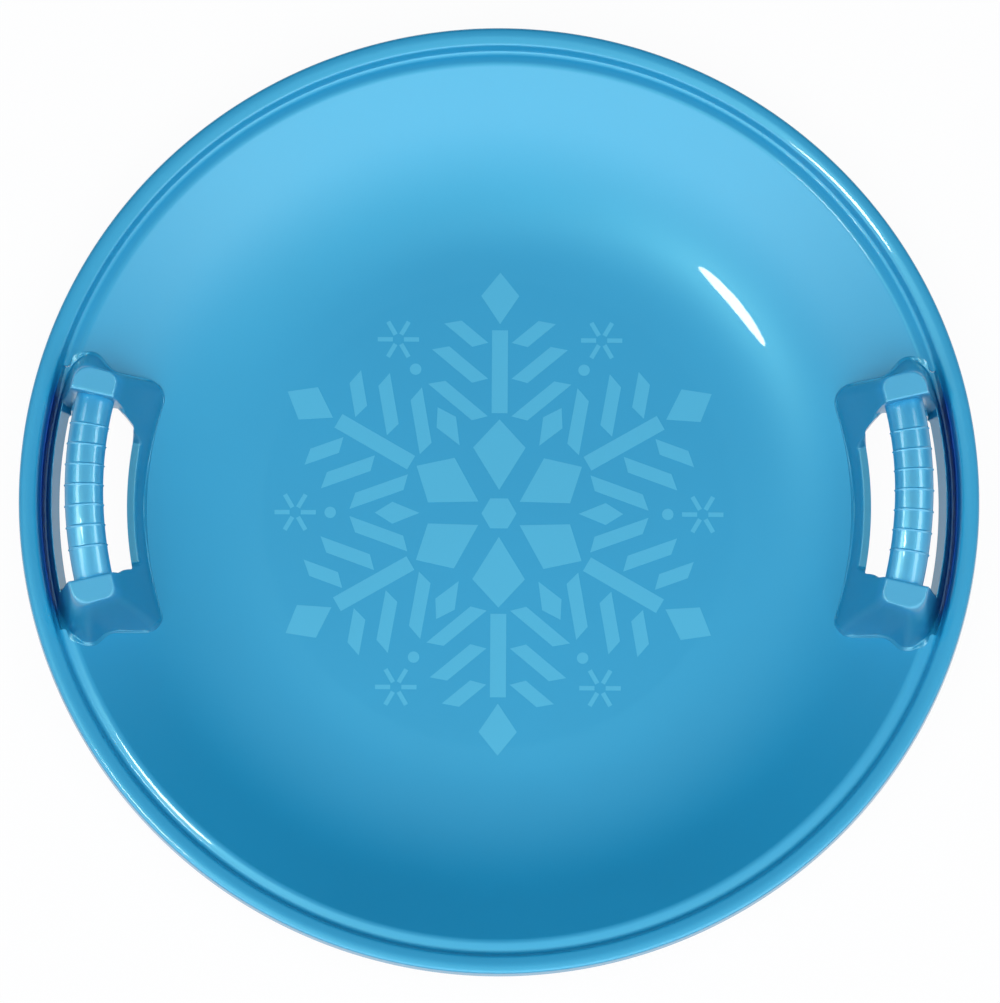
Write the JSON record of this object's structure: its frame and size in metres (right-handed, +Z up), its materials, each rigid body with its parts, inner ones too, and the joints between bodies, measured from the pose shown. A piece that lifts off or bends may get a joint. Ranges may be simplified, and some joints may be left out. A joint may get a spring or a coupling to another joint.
{
  "type": "snow slider",
  "caption": "Round blue plastic saucer snow slider, 600 mm across, with a rolled rim and two raised side mounts that each hold a ribbed hand grip over a finger opening.",
  "frame": {"origin": "middle of the flat underside of the dish, on the plane it rests on", "axes": "+Z up through the open side of the dish, +X towards the right-hand grip, +Y along that grip"},
  "size_m": [0.6, 0.6, 0.1027],
  "materials": {
    "dish_plastic": "glossy",
    "grip_plastic": "glossy"
  },
  "bodies": {
    "root": {"dish": "dish_plastic", "right_handle_mount": "dish_plastic", "left_handle_mount": "dish_plastic", "right_grip": "grip_plastic", "left_grip": "grip_plastic"}
  },
  "joints": []
}
